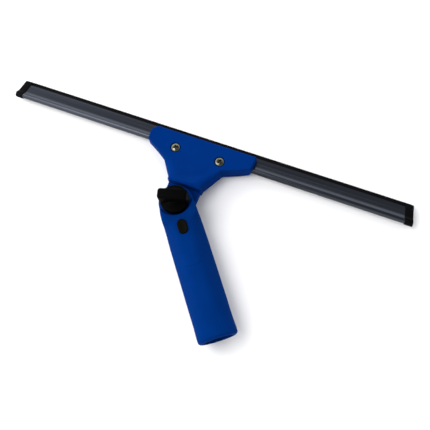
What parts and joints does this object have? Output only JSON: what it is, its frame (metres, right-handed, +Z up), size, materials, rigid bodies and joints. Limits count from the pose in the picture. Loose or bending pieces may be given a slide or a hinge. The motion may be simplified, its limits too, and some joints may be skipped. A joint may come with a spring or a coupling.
{
  "type": "swivel-head squeegee",
  "caption": "Swivel-head squeegee: rubber blade in a clamped metal channel, on a head that turns on a plastic handle, locked by a clamping knob.",
  "frame": {"origin": "middle of the whole outline, as it lies with the handle turned, on the surface that it lies on", "axes": "+X along the blade, +Y from the handle towards the wiping edge, +Z up from the surface; the swivel axis is parallel to Z"},
  "size_m": [0.3597, 0.1598, 0.04],
  "materials": {
    "grip_blue": "satin moulded blue plastic",
    "head_blue": "semi-gloss moulded blue plastic",
    "knob_black": "satin moulded black plastic",
    "button_black": "satin moulded black plastic",
    "cap_black": "matte black plastic",
    "blade_rubber": "smooth black rubber with square edges",
    "channel_alu": "satin anodised extrusion",
    "screw_chrome": "bright plated steel",
    "bolt_steel": "zinc plated steel",
    "spring_steel": "plain spring steel",
    "friction_plastic": "natural acetal",
    "brass": "turned brass"
  },
  "bodies": {
    "handle": {"handle_body": "grip_blue", "pivot_bolt": "bolt_steel", "lower_friction_washer": "friction_plastic", "upper_friction_washer": "friction_plastic", "spring_washer": "spring_steel", "latch_spring": "spring_steel", "latch_cover": "grip_blue"},
    "clamp": {"thrust_washer": "bolt_steel"},
    "knob": {"knob": "knob_black", "knob_insert": "brass"},
    "latch": {"lock_button": "button_black", "latch_plate": "bolt_steel"},
    "head": {"head_body": "head_blue", "rear_jaw": "head_blue", "jaw_screws": "screw_chrome", "jaw_nuts": "bolt_steel", "tongue_bush": "brass", "channel": "channel_alu", "rubber_blade": "blade_rubber", "end_cap_left": "cap_black", "end_cap_right": "cap_black"}
  },
  "joints": [
    {"name": "head_swivel", "type": "hinge", "parent": "handle", "child": "head", "pos_m": [0.0015, 0.01591, 0.0102], "axis": [0, 0, 1], "range_deg": [-51.1, 128.9]},
    {"name": "clamp_lift", "type": "slide", "parent": "handle", "child": "clamp", "axis": [0, 0, 1], "range_m": [0, 0.00075], "deforming": ["spring_washer"]},
    {"name": "knob_turn", "type": "hinge", "parent": "clamp", "child": "knob", "pos_m": [0.0015, 0.01591, 0.024], "axis": [0, 0, 1], "range_deg": [0, 270]},
    {"name": "button_press", "type": "slide", "parent": "handle", "child": "latch", "axis": [0, 0, -1], "range_m": [0, 0.0025], "stiffness_N_per_m": 800, "springref_m": -0.002, "deforming": ["latch_spring"]}
  ],
  "couplings": [
    {"joint": "knob_turn", "follows": "clamp_lift", "rad_per_m": 6283.2}
  ]
}
